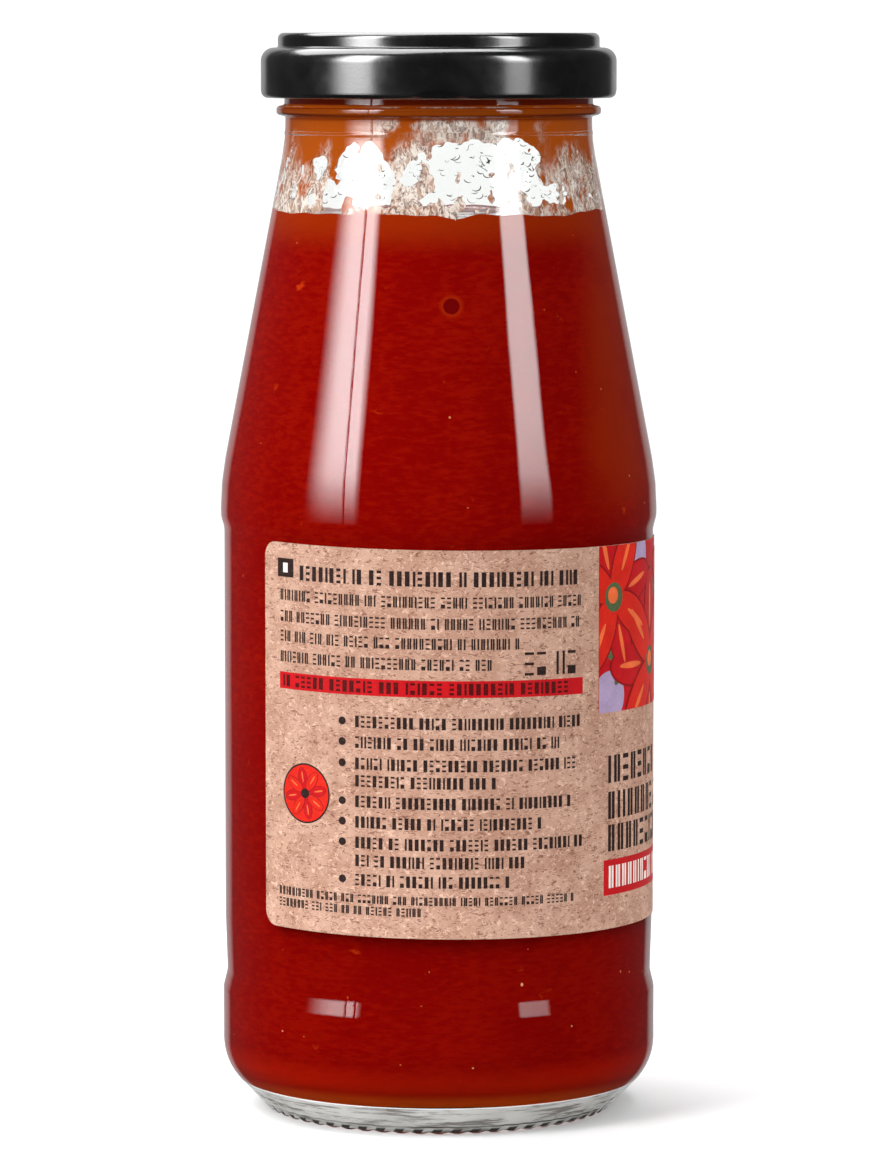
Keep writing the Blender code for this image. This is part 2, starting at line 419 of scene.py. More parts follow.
def buildGlass(material):
    g = glassShape
    bead, mouldLine = g["beadHeight"], g["mouldLine"]
    inside = roundedOutline(insideCorners(0.0) + [(g["finishRadius"], rimHeight, 0)])[:-1]
    outsideCorners = [
        (g["boreRadius"], rimHeight, 0), (g["finishRadius"], rimHeight, 0.9 * mm),
        (g["finishRadius"], bead + 0.95 * mm, 0.3 * mm), (g["beadRadius"], bead + 0.6 * mm, 0.55 * mm),
        (g["beadRadius"], bead - 0.6 * mm, 0.55 * mm), (g["neckRadius"], bead - 0.95 * mm, 0.3 * mm),
        (g["neckRadius"], g["neckHeight"], 26 * mm), (g["ringRadius"], g["shoulderHeight"], 42 * mm),
        (g["ringRadius"], g["panelHigh"] + g["stepHigh"], 4 * mm),
        (g["panelRadius"], g["panelHigh"], 4 * mm), (g["panelRadius"], g["panelLow"] + 8.5 * mm, 20 * mm),
        (g["footRadius"], g["panelLow"], 3 * mm),
        (g["bodyRadius"], g["panelLow"] - g["stepLow"], 3 * mm),
        (g["bodyRadius"], g["heelHeight"], g["heelRound"]),
        (g["contactOuter"], 0.0, 0.5 * mm), (g["contactInner"], 0.0, 0.5 * mm),
        (g["contactInner"] - 1.3 * mm, 1.3 * mm, 2 * mm), (0.0, g["pushUp"], 0),
    ]
    outside = roundedOutline(outsideCorners, 6 * degree)[1:]
    inside = densified(inside, 0.4 * mm, fillHeight - 1 * mm, fillHeight + 13 * mm)
    outline = inside + densified(outside, 0.35 * mm, bead + 1.5 * mm, rimHeight - 1 * mm)
    outline = densified(densified(outline, 8 * mm), 0.15 * mm, mouldLine - 0.5 * mm, mouldLine + 0.5 * mm)
    threadPitch = full / g["threads"]
    innerPlaces = {(round(place.x, 9), round(place.y, 9)) for place in inside}

    def shift(radius, height, azimuth):
        if (round(radius, 9), round(height, 9)) in innerPlaces:
            above = height - fillHeight
            if above < 12 * mm:  # drops that stand in from the glass, fewer of them at the front
                edge = smooth(0, 2 * mm, 12 * mm - above) * smooth(1.0 * mm, 5.5 * mm, above)
                edge *= 1 - 0.7 * hump(math.degrees(turnGap(azimuth, 0.2)), 48)
                lumps = max(bumpy(azimuth, height * 0.7, 2.6 * mm, 3.0), 0) ** 1.3
                fine = bumpy(azimuth, height, 1.1 * mm, 9.0)
                radius -= edge * (0.5 * lumps + 0.08 * fine) * mm
            return radius, height
        if radius > g["neckRadius"] - 1 * mm and height > 3 * mm:
            for seam in g["seams"]:
                gap = turnGap(azimuth, seam) * radius
                radius += g["seamHeight"] * hump(gap, g["seamWidth"])
                if height < g["panelLow"]:  # the foot has a second line beside it
                    gap -= g["secondSeamTurn"] * radius
                    radius += g["seamHeight"] * hump(gap, g["seamWidth"])
        radius += 0.09 * mm * hump(height - mouldLine, 0.35 * mm)
        if height > bead + 1.2 * mm and radius > g["boreRadius"] + 1.5 * mm:
            turn = turnGap(azimuth, threadPitch * round(azimuth / threadPitch))
            along = turn / g["threadSpan"]
            if abs(along) < 0.5:
                middle = g["threadMiddle"] - along * g["threadRise"]
                ends = smooth(0.5, 0.4, abs(along))
                radius += g["threadRadius"] * ends * hump(height - middle, g["threadHalfHeight"] * 1.5)
        if height < 1.1 * mm and radius > g["contactInner"] - 0.6 * mm:
            wave = math.cos(g["knurls"] * azimuth + g["knurlSlant"] * (radius - g["contactOuter"]))
            fade = smooth(1.1 * mm, 0.2 * mm, height)
            fade *= smooth(-0.6 * mm, 0.2 * mm, radius - g["contactInner"])
            height += g["knurlDepth"] * fade * (0.5 - 0.5 * wave) ** 1.5
        return radius, height

    fineSpots = [(seam + g["secondSeamTurn"] / 2, 2.1 * degree, 0.15 * degree) for seam in g["seams"]]
    azimuths = azimuthSteps(g["knurls"] * 6, fineSpots)
    points, faces = turnedMesh(outline, azimuths, shift)
    made = newPiece("bottle_glass", points, faces, material, "clear_glass", 50)
    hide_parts("glass_bottle")


def glassMaterial():
    made, tree = newMaterial("clearFlintGlass", {
        "Base Color": (0.975, 0.99, 0.98, 1), "Roughness": 0.0, "IOR": 1.52, "Transmission Weight": 1.0,
    })
    painted(made, None, (noiseOf(tree, 14 * mm, 1.5, stretch=(1, 1, 0.35)), 0.12 * mm))
    # rays from lamps and from matt surfaces pass the glass unbent, so that what is inside is lit
    path = addNode(tree, "LightPath").outputs
    clear = addNode(tree, "BsdfTransparent", {"Color": (0.96, 0.97, 0.96, 1.0)})
    both = addNode(tree, "MixShader", {
        0: mathOf("MAXIMUM", path["Is Shadow Ray"], path["Is Diffuse Ray"]),
        1: tree.nodes["Principled BSDF"].outputs[0], 2: clear.outputs[0],
    })
    tree.links.new(both.outputs[0], tree.nodes["Material Output"].inputs["Surface"])
    return made


# Heel of the glass: a matt grey band inside its thick ring, with dark streaks and a row of dark teeth, is painted
# refraction of the shaded floor seen through the clear glass, with painted shade on the teeth and a painted
# highlight along its top rim

heelLook = {
    "inset": 0.42 * mm,
    "thickness": 0.15 * mm,
    "low": 0.45 * mm,
    "high": 5.1 * mm,
    "pale": (0.60, 0.59, 0.57),
    "streak": (0.16, 0.14, 0.125),
    "rimHighlight": (0.88, 0.86, 0.84),
    "toothShade": (0.035, 0.030, 0.028),
    "toothHeight": 1.25 * mm,
}


def buildHeelBand(material):
    g = glassShape
    look = heelLook
    outer = roundedOutline([
        (g["bodyRadius"], 20 * mm, 0), (g["bodyRadius"], g["heelHeight"], g["heelRound"]),
        (g["contactOuter"], 0, 0),
    ])[::-1]
    rows = 20
    heights = [look["high"] + (look["low"] - look["high"]) * row / rows for row in range(rows + 1)]
    outline = [Vector((wallRadius(height, outer) - look["inset"], height)) for height in heights]
    outline += [place - Vector((look["thickness"], 0)) for place in reversed(outline)]
    points, faces = turnedMesh(outline, azimuthSteps(240), closed=True)
    newPiece("heel_band", points, faces, material, "clear_glass", 50)


def heelMaterial():
    look = heelLook
    made, tree = newMaterial("heelPaintedRefraction", {"Roughness": 0.4, "IOR": 1.5, "Specular IOR Level": 0.2})
    x, y, height = axesOf(tree)
    streaks = noiseOf(tree, 9 * mm, 4.0, 0.65, (1, 1, 12))
    broad = noiseOf(tree, 9 * mm, 2.0)
    wave = product(mathOf("ARCTAN2", x, y), float(glassShape["knurls"]))
    wave = mathOf("SINE", mathOf("ADD", wave, product(height, 1500.0)))  # slanted like the knurls
    low = mapped(height, look["toothHeight"], look["toothHeight"] - 0.4 * mm)
    fromLine = mathOf("ABSOLUTE", mathOf("SUBTRACT", height, look["toothHeight"] + 0.15 * mm))
    line = product(mapped(fromLine, 0.22 * mm, 0.08 * mm), mapped(broad, 0.4, 0.6, 0.35, 0.9))
    # painted refraction: grey with dark streaks, painted shade on the teeth and in a line above them, and a
    # painted highlight along the top rim
    colour = layered(
        look, scaled(look["pale"], 0.8), (mapped(broad, 0.35, 0.65), "pale"),
        (mapped(streaks, 0.47, 0.62, 0.0, 0.9), "streak"),
        (product(mapped(wave, -0.3, 0.4), low), "toothShade"), (line, "toothShade"),
        (mapped(height, look["high"] - 0.3 * mm, look["high"] - 0.1 * mm), "rimHighlight"),
    )
    return painted(made, colour, (streaks, 0.1 * mm))


# Passata

sauceLook = {
    "deep": (0.168, 0.0005, 0.0002),
    "light": (0.210, 0.0028, 0.0004),
    "shade": (0.0672, 0.0002, 0.00008),
    # painted light: the low and bottom colours make the lowest part of the sauce lighter and more orange
    "low": (0.34, 0.008, 0.0006),
    "bottom": (0.80, 0.105, 0.007),
    "fleck": (0.36, 0.022, 0.002),
    "edge": (0.232, 0.0155, 0.0009),
    "reach": 0.12 * mm,
    "bubble": (1.9 * mm, 129.0 * mm, 1.15 * mm),
    "bubbleShade": (0.11, 0.0006, 0.0008),
    "bubbleRingLight": (0.27, 0.013, 0.0010),
    "brown": (0.213, 0.0105, 0.0005),
    "specks": ((0.36, 0.035, 0.006), (0.60, 0.24, 0.10)),
}


def fillWave(azimuth):
    # how far the fill line stands above or below its mean height
    degrees = math.degrees(turnGap(azimuth, 0.0))
    dips = 0.75 * hump(degrees - 6, 9) + 0.55 * hump(degrees - 44, 17) + 0.3 * hump(degrees + 60, 20)
    small = 0.12 * math.sin(degrees / 5.1) + 0.08 * math.sin(degrees / 2.3 + 1)
    return (0.25 - dips + small) * mm


def buildSauce(material, topMaterial):
    g = glassShape
    wall = roundedOutline(insideCorners(sauceLook["reach"]))
    floorLift = 0.2 * mm
    flatRadius = 26.4 * mm  # the floor of the sauce is nearly flat up to here
    outline = [
        Vector((0.0, g["floorMiddle"] + floorLift)),
        Vector((flatRadius - 2 * mm, g["floorEdge"] + 0.18 * mm + floorLift)),
    ]
    outline += [place for place in wall if place.x > flatRadius and place.y < fillHeight - 1.0 * mm]
    bubbleAlong, bubbleHeight, bubbleRadius = sauceLook["bubble"]
    outline = densified(outline, 6 * mm)
    outline = densified(outline, 0.14 * mm, bubbleHeight - 1.6 * mm, bubbleHeight + 1.6 * mm)
    edgeRadius = wallRadius(fillHeight, wall)
    for inwards, lift in ((0.0, 0.0), (0.5, 0.02), (1.2, -0.4), (3.0, -0.6)):  # the edge climbs the glass
        outline.append(Vector((edgeRadius - inwards * mm, fillHeight + lift * mm)))
    for part in range(1, 10):
        outline.append(Vector(((edgeRadius - 3 * mm) * (1 - part / 9), fillHeight - 0.6 * mm)))
    bubbleTurn = bubbleAlong / wallRadius(bubbleHeight, wall)

    def shift(radius, height, azimuth):
        if height > fillHeight - 0.7 * mm:
            share = smooth(edgeRadius - 5 * mm, edgeRadius, radius)
            height += share * fillWave(azimuth)
            height += 0.25 * mm * bumpy(azimuth, height, 5 * mm, 21.0, radius) * (1 - share)
        away = math.hypot(turnGap(azimuth, bubbleTurn) * radius, height - bubbleHeight)
        if away < bubbleRadius:
            radius -= math.sqrt(bubbleRadius ** 2 - away ** 2) * 0.8
        return radius, height

    azimuths = azimuthSteps(160, [(bubbleTurn, 3 * degree, 0.27 * degree)])
    points, faces = turnedMesh(outline[::-1], azimuths, shift)
    made = newPiece("sauce", points, faces, material, "passata", 50)
    made.data.materials.append(topMaterial)
    for face in made.data.polygons:
        if all(
            points[index][2] > fillHeight - 1.5 * mm and math.hypot(*points[index][:2]) < edgeRadius - 0.4 * mm
            for index in face.vertices
        ):
            face.material_index = 1
    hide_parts("passata")


def buildSpecks(material):
    # seeds, shreds of skin and tiny bubbles against the glass
    draw = random.Random(19)
    points = []
    faces = []
    for number in range(70):
        azimuth = draw.uniform(0, full)
        height = draw.uniform(10 * mm, 31 * mm) if number % 2 else draw.uniform(94 * mm, 141 * mm)
        across = draw.uniform(0.10, 0.24) * mm
        tall = across * draw.uniform(0.6, 1.5)
        radius = wallRadius(height) + 0.12 * mm
        first = len(points)
        for turn in range(6):
            angle = full * turn / 6
            away = across * math.cos(angle) / radius
            points.append(onBottle(radius, azimuth + away, height + tall * math.sin(angle)))
            here, there = first + turn, first + (turn + 1) % 6
            faces += [(here, there, first + 6), (there, here, first + 7)]
        points += [onBottle(radius + depth * mm, azimuth, height) for depth in (0.05, -0.05)]
    newPiece("sauce_specks", points, faces, material, "passata")


def sauceTopMaterial():
    # the wet surface inside, which mirrors what is behind it when seen from low down
    made, tree = newMaterial("passataSurface", {"Roughness": 0.06, "IOR": 1.4})
    lumps = noiseOf(tree, 5 * mm)
    tint = mixed(mapped(lumps, 0.35, 0.65), sauceLook["deep"], sauceLook["light"])
    return painted(made, tint, (lumps, 0.05 * mm))


def sauceMaterial():
    look = sauceLook
    made, tree = newMaterial("tomatoPassata", {"IOR": 1.36, "Specular IOR Level": 0.0})
    x, _, height = axesOf(tree)
    grain = noiseOf(tree, 2.0 * mm, 5.0, 0.66, (1, 1, 3.0))
    clouds = noiseOf(tree, 13 * mm, 2.0)
    flecks = noiseOf(tree, 4.5 * mm, 4.0, 0.6, (1, 1, 1.5))
    blend = mathOf("ADD", product(grain, 0.7), product(clouds, 0.3))
    browner = product(
        mapped(x, 20 * mm, 25 * mm), mapped(height, 92 * mm, 104 * mm), mapped(clouds, 0.3, 0.6, 0.5, 1.0),
    )
    along, bubbleHeight, bubbleRadius = look["bubble"]
    bubbleWall = wallRadius(bubbleHeight)
    away = addNode(tree, "VectorMath", {
        0: placeOf(tree), 1: onBottle(bubbleWall, along / bubbleWall, bubbleHeight),
    }, operation="DISTANCE").outputs["Value"]
    colour = layered(
        look, look["deep"], (mapped(blend, 0.42, 0.62), "light"), (mapped(flecks, 0.66, 0.76), "fleck"),
        (mapped(height, 70 * mm, 30 * mm, 0.0, 0.25), "shade"), (browner, "brown"),
        # painted light and shade at the bubble against the glass: a lighter ring round it and a dark disc where
        # it is
        (mapped(away, bubbleRadius * 1.9, bubbleRadius * 1.15, 0.0, 0.7), "bubbleRingLight"),
        (mapped(away, bubbleRadius * 1.15, bubbleRadius), "bubbleShade"),
        (mapped(height, fillHeight - 6.6 * mm, fillHeight - 0.5 * mm), "edge"),
        # painted light: lighter and more orange towards the bottom, where the sauce curves under and gets little
        # light
        (mapped(height, 12.0 * mm, 7.0 * mm, 0.0, 0.9), "low"), (mapped(height, 7.6 * mm, 6.0 * mm), "bottom"),
    )
    return painted(made, colour, (grain, 0.08 * mm), mapped(grain, 0.3, 0.7, 0.34, 0.5))


# Film of passata left on the glass above the fill line

filmLook = {
    "thin": (0.44, 0.265, 0.185),
    "thick": (0.33, 0.060, 0.004),
    "lumpHighlight": (0.86, 0.76, 0.68),
    "lumpRimShade": (0.13, 0.045, 0.030),
    "shade": (0.13, 0.010, 0.001),
    "columns": 460,
    "rowStep": 0.26 * mm,
    "top": 169.0 * mm,
    "full": 155.0 * mm,
    "rimShade": ((0.022, 0.012, 0.010), (0.07, 0.022, 0.012)),
}


def filmThickness(azimuth, height):
    # thickness of the film in millimetres, and none where it is below zero
    degrees = math.degrees(turnGap(azimuth, 0.0))
    above = (height - fillHeight) / mm
    streaks = bumpy(azimuth, height * 0.32, 1.7 * mm, 31.0)
    lumps = bumpy(azimuth, height * 0.8, 2.9 * mm, 40.0)
    fine = bumpy(azimuth, height, 0.9 * mm, 50.0)
    sides = 0.42 * smooth(26, 62, abs(degrees + 4)) - 0.85 * smooth(84, 120, abs(degrees))
    rise = -4.6 * hump(degrees + 16, 11) - 6.5 * smooth(36, 54, degrees) - 2.4 * smooth(-30, -46, degrees)
    rise = rise * smooth(112, 88, abs(degrees)) + 2.4 * smooth(88, 118, abs(degrees))
    cover = smooth(-1.8, 0.9, (height - filmLook["full"]) / mm - rise)
    wet = 0.30 * hump(above - 0.5, 2.0) * smooth(14, 30, abs(degrees - 25)) * smooth(105, 80, abs(degrees))
    crust = 0.46 * hump(degrees + 13, 20) * hump(above - 2.6, 4.6)
    crust += 0.24 * hump(degrees - 22, 26) * hump(above - 3.0, 4.5)
    value = -0.28 + sides + 1.05 * cover + 0.58 * lumps + 0.42 * streaks + 0.26 * fine + wet + crust
    return 0.42 * value


def buildFilm(material):
    look = filmLook
    bottom = fillHeight - 0.8 * mm
    rows = math.ceil((look["top"] - bottom) / look["rowStep"])
    columns = look["columns"]
    grid = []
    for row in range(rows + 1):
        height = bottom + (look["top"] - bottom) * row / rows
        grid.append([
            (full * column / columns, height, filmThickness(full * column / columns, height))
            for column in range(columns)
        ])
    corners = {}
    outerPoints = []
    innerPoints = []

    def cornerAt(key, azimuth, height, thickness):
        if key not in corners:
            corners[key] = len(outerPoints)
            radius = wallRadius(height)
            outerPoints.append(onBottle(radius + 0.04 * mm, azimuth, height))
            depth = min(max(thickness, 0.0), 0.6) * mm + 0.01 * mm
            innerPoints.append(onBottle(radius - depth, azimuth, height))
        return corners[key]

    patches = []
    for row in range(rows):
        for column in range(columns):
            following = (column + 1) % columns
            keys = [(row, column), (row, following), (row + 1, following), (row + 1, column)]
            places = [grid[r][c] for r, c in keys]
            if following == 0:
                places[1] = (full, *places[1][1:])
                places[2] = (full, *places[2][1:])
            patch = []
            for index in range(4):
                here, there = places[index], places[(index + 1) % 4]
                if here[2] > 0:
                    patch.append(cornerAt(keys[index], *here))
                if (here[2] > 0) != (there[2] > 0):
                    share = here[2] / (here[2] - there[2])
                    key = tuple(sorted((keys[index], keys[(index + 1) % 4])))
                    azimuth = here[0] + (there[0] - here[0]) * share
                    height = here[1] + (there[1] - here[1]) * share
                    patch.append(cornerAt(key, azimuth, height, 0.0))
            if len(patch) > 2:
                patches.append(patch)
    count = len(outerPoints)
    faces = [tuple(patch) for patch in patches]
    faces += [tuple(index + count for index in reversed(patch)) for patch in patches]
    sides = dict.fromkeys((a, b) for patch in patches for a, b in zip(patch, patch[1:] + patch[:1]))
    faces += [(b, a, a + count, b + count) for a, b in sides if (b, a) not in sides]
    newPiece("sauce_film", outerPoints + innerPoints, faces, material, "passata", 60)


def filmMaterial():
    look = filmLook
    made, tree = newMaterial("passataFilm", {"Roughness": 0.3, "IOR": 1.36, "Specular IOR Level": 0.0})
    x, _, height = axesOf(tree)
    lumps = noiseOf(tree, 3.4 * mm, 4.0, 0.6, (1, 1, 0.6))
    broad = noiseOf(tree, 7 * mm, 3.0, 0.6, (1, 1, 0.6))
    uneven = mathOf("ADD", height, product(broad, 16 * mm))
    high = mapped(uneven, look["full"] + 1.5 * mm, look["full"] + 7.0 * mm)
    body = mathOf("MAXIMUM", high, mapped(lumps, 0.47, 0.62))
    thinned = product(  # the clear area at the front
        mapped(noiseOf(tree, 7 * mm, 3.0, 0.6, (1, 1, 0.7)), 0.45, 0.56, 0.0, 0.95),
        mapped(height, 158.5 * mm, 157.0 * mm), mapped(x, -12 * mm, -6 * mm), mapped(x, 17 * mm, 12 * mm),
    )
    body = product(body, mathOf("SUBTRACT", 1.0, thinned))
    colour = look["thin"]
    # painted highlights as pale lines where the lumps' wet rims catch the light, and painted shade as dark lines
    # along their rims
    for size, width, name in ((2.6 * mm, 0.055, "lumpHighlight"), (1.9 * mm, 0.040, "lumpRimShade"), (1.2 * mm, 0.035, "lumpHighlight")):
        line = crossing(noiseOf(tree, size, 3.0, 0.6, (1, 1, 0.55), 0.6), width, 0.85)
        colour = mixed(line, colour, look[name])
    under = product(mapped(height, 157.1 * mm, 157.8 * mm), mapped(height, 158.7 * mm, 158.1 * mm, 0.0, 0.75))
    colour = layered(
        look, colour, (body, "thick"), (mapped(height, 158.6 * mm, 159.7 * mm), "shade"), (under, "shade"),
    )
    return painted(made, colour, (lumps, 0.3 * mm), alpha=mathOf("ADD", product(body, 0.36), 0.60))


def buildFilmMarks(material):
    # painted shade: dark curved rims under drops and round bubbles in the film
    draw = random.Random(41)
    points = []
    faces = []
    steps = 6
    for number in range(230):
        azimuth = draw.uniform(0, full)
        height = fillHeight + draw.uniform(1.2, 12.5) * mm
        if number < 70:
            azimuth = math.radians(draw.uniform(-30, 62))
        reach = draw.uniform(0.25, 0.85) * mm
        span = draw.uniform(1.2, 2.9)
        turn = -math.pi / 2 + draw.uniform(-0.9, 0.9)
        width = draw.uniform(0.05, 0.11) * mm
        radius = wallRadius(height)
        faces += barFaces(len(points), steps + 1)
        for step in range(steps + 1):
            angle = turn + span * (step / steps - 0.5)
            half = width * math.sin(math.pi * (0.08 + 0.84 * step / steps))
            for away in (reach - half, reach + half):
                spot = azimuth + away * math.cos(angle) / radius
                for depth in (0.05, -0.03):
                    points.append(onBottle(radius + depth * mm, spot, height + 0.8 * away * math.sin(angle)))
    newPiece("film_marks", points, faces, material, "passata")


# Lid: pressed and lacquered tinplate with a raised ring, a flat button and four lug dents in its curl

lidShape = {
    "radius": 28.1 * mm,
    "wall": 0.25 * mm,
    "ledge": 168.7 * mm,
    "ringRadius": 25.4 * mm,
    "ringInner": 22.2 * mm,
    "panel": 169.8 * mm,
    "buttonRadius": 11.0 * mm,
    "buttonRise": 0.4 * mm,
    "curlHeight": 1.5 * mm,
    "curlDepth": 1.6 * mm,
    "dentHalfWidth": 4.9 * mm,
    "dentHeight": 1.25 * mm,
    "dentDepth": 0.35 * mm,
    "lugs": 4,
}


def buildLid(material):
    p = lidShape
    low, top = lidLow.z, lidHigh.z
    wall, panel, ledge, rise = p["wall"], p["panel"], p["ledge"], p["buttonRise"]
    radius, button = p["radius"], p["buttonRadius"]
    ringRadius, ringInner = p["ringRadius"], p["ringInner"]
    curlRadius, curlTop = radius - p["curlDepth"], low + p["curlHeight"]
    corners = [
        (0.0, panel + rise, 0), (button, panel + rise, 1.2 * mm), (button + 1.2 * mm, panel, 1.2 * mm),
        (ringInner - 0.8 * mm, panel, 0.4 * mm), (ringInner, top, 0.5 * mm),
        (ringRadius, top, 0.95 * mm), (ringRadius, ledge, 0.3 * mm),
        (radius, ledge - 0.1 * mm, 2.1 * mm), (radius, low, 0.75 * mm),
        (curlRadius, low, 0.75 * mm), (curlRadius, curlTop, 0.6 * mm),
        (radius - wall, curlTop, 0.1 * mm), (radius - wall, ledge - wall, 1.8 * mm),
        (ringRadius - wall, ledge - wall, 0.2 * mm), (ringRadius - wall, top - wall, 0.7 * mm),
        (ringInner + wall / 2, top - wall, 0.3 * mm), (ringInner - 0.7 * mm, panel - wall, 0.3 * mm),
        (button + 1.2 * mm, panel - wall, 0), (button, panel - wall + rise, 0), (0.0, panel - wall + rise, 0),
    ]
    outline = densified(roundedOutline(corners, 9 * degree), 0.3 * mm, low - 1 * mm, low + 2.2 * mm)
    outline = densified(outline, 3 * mm)
    pitch = full / p["lugs"]

    def shift(radius, height, azimuth):
        if radius > p["radius"] - 0.9 * mm and height < low + 2.2 * mm:
            along = turnGap(azimuth, pitch * round(azimuth / pitch)) * p["radius"]
            arch = p["dentHeight"] * (1 - (along / p["dentHalfWidth"]) ** 2)
            if arch > 0:
                depth = smooth(0.0, 0.28 * mm, arch - (height - low))
                radius -= p["dentDepth"] * depth * smooth(0, 0.5 * mm, arch)
        return radius, height

    points, faces = turnedMesh(outline, azimuthSteps(288), shift)
    made = newPiece("lid_shell", points, faces, material, "black_lacquer", 50)
    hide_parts("lid")


def buildLidLugs(material):
    # the four lugs that the curl is pinched into, under the threads
    p = lidShape
    points = []
    faces = []
    for number in range(p["lugs"]):
        middle = full * number / p["lugs"]
        rings = []
        for step in range(15):
            part = step / 14 * 2 - 1
            azimuth = middle + part * 10 * degree
            reach = 1.25 * mm * (1 - part ** 4) + 0.15 * mm
            outer = p["radius"] - p["curlDepth"] + 0.35 * mm
            low = lidLow.z + 0.25 * mm
            section = [
                (outer, low), (outer - reach * 0.7, low + 0.05 * mm), (outer - reach, low + 0.4 * mm),
                (outer - reach * 0.9, low + 0.8 * mm), (outer, low + 0.95 * mm),
            ]
            rings.append([len(points) + index for index in range(5)])
            points += [onBottle(radius, azimuth, height) for radius, height in section]
        for near, far in zip(rings, rings[1:]):
            for index in range(5):
                following = (index + 1) % 5
                faces.append((near[index], far[index], far[following], near[following]))
        faces.append(tuple(rings[0]))
        faces.append(tuple(reversed(rings[-1])))
    newPiece("lid_lugs", points, faces, material, "black_lacquer")


def lidMaterial():
    made, tree = newMaterial("blackLacquer", {"IOR": 1.8, "Coat Weight": 0.6, "Coat Roughness": 0.1})
    broad = noiseOf(tree, 5 * mm)
    tint = mixed(mapped(broad, 0.35, 0.7), (0.0038, 0.0038, 0.0042), (0.0062, 0.0060, 0.0063))
    return painted(made, tint, (noiseOf(tree, 0.35 * mm, 2.0), 0.006 * mm), mapped(broad, 0.3, 0.75, 0.18, 0.27))


# Label: one sheet of kraft paper with flat printing on it, in millimetres from the front, and from the floor

labelLook = {
    "thickness": 0.15,
    "corner": 2.4,
    "start": -51.9 * degree,
    "sweep": 300 * degree,
    "low": 31.9,
    "high": 92.1,
    "pale": (0.476, 0.290, 0.213),
    "dark": (0.376, 0.207, 0.144),
    "fibre": (0.15, 0.055, 0.035),
    "lightFibre": (0.66, 0.44, 0.33),
}
paperGloss = {"Specular IOR Level": 0.12, "Sheen Weight": 0.12, "Sheen Roughness": 0.3}


def buildPaper(material):
    look = labelLook
    corner, low, high = look["corner"], look["low"], look["high"]
    pageLeft = look["start"] * paperRadius / mm
    pageRight = pageLeft + look["sweep"] * paperRadius / mm
    angles = [90 * degree * step / 8 for step in range(9)]
    bends = [(corner * (1 - math.cos(angle)), corner * (1 - math.sin(angle))) for angle in angles]
    left, right = pageLeft + corner, pageRight - corner
    parts = 320
    columns = [(pageLeft + away, low + inset, high - inset) for away, inset in bends]
    columns += [(left + (right - left) * part / parts, low, high) for part in range(1, parts)]
    columns += [(pageRight - away, low + inset, high - inset) for away, inset in reversed(bends)]
    sheet = Shells(paperRadius - look["thickness"] * mm, paperRadius)
    sheet.addColumns(columns)
    made = newPiece("label_paper", sheet.points, sheet.faces, material, "kraft_paper")
    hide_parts("label")


def fibresOf(tree, tall, turn, size, width, share):
    # thin curved lines, cut into short fibres
    lines = crossing(noiseOf(tree, size, 1.0, 0.5, (1, 1, tall), 0.8, turn), width)
    cut = mapped(noiseOf(tree, size * 0.75, 2.0, stretch=(1.2, 1.2, 1.6)), 0.50, 0.57)
    return product(lines, cut, share)


def paperMaterial():
    look = labelLook
    made, tree = newMaterial("kraftPaper", paperGloss)
    cloud = noiseOf(tree, 5 * mm, 4.0, 0.6)
    speck = noiseOf(tree, 0.5 * mm, 3.0, 0.6, (1, 1, 1.8))
    colour = layered(
        look, look["dark"], (mapped(cloud, 0.34, 0.66), "pale"),
        (fibresOf(tree, 3.6, (0, 0, 0), 1.9 * mm, 0.046, 0.8), "fibre"),
        (fibresOf(tree, 2.6, (0.4, 0.2, 0.3), 1.4 * mm, 0.040, 0.6), "fibre"),
        (fibresOf(tree, 1.5, (-0.6, 0.4, 0), 1.5 * mm, 0.045, 0.7), "lightFibre"),
        (mapped(speck, 0.60, 0.76, 0.0, 0.36), "fibre"), (mapped(speck, 0.42, 0.30, 0.0, 0.35), "lightFibre"),
    )
    return painted(made, colour, (speck, 0.02 * mm), mapped(cloud, 0.3, 0.7, 0.74, 0.92))


def inkMaterial(name, colour, worn, share):
    # flat ink that lets a little of the paper's unevenness through
    made, tree = newMaterial(name, paperGloss)
    speck = noiseOf(tree, 0.5 * mm, 4.0, 0.65, (1, 1, 1.8))
    cloud = noiseOf(tree, 3 * mm)
    shade = mixed(mapped(cloud, 0.3, 0.7), scaled(colour, 0.86), colour)
    shown = mixed(product(mapped(speck, 0.5, 0.72), share), shade, worn)
    return painted(made, shown, (speck, 0.015 * mm), mapped(cloud, 0.3, 0.7, 0.5, 0.68))


# Printing: rows of plain marks stand for text, with a generic rosette and a panel of generic flowers

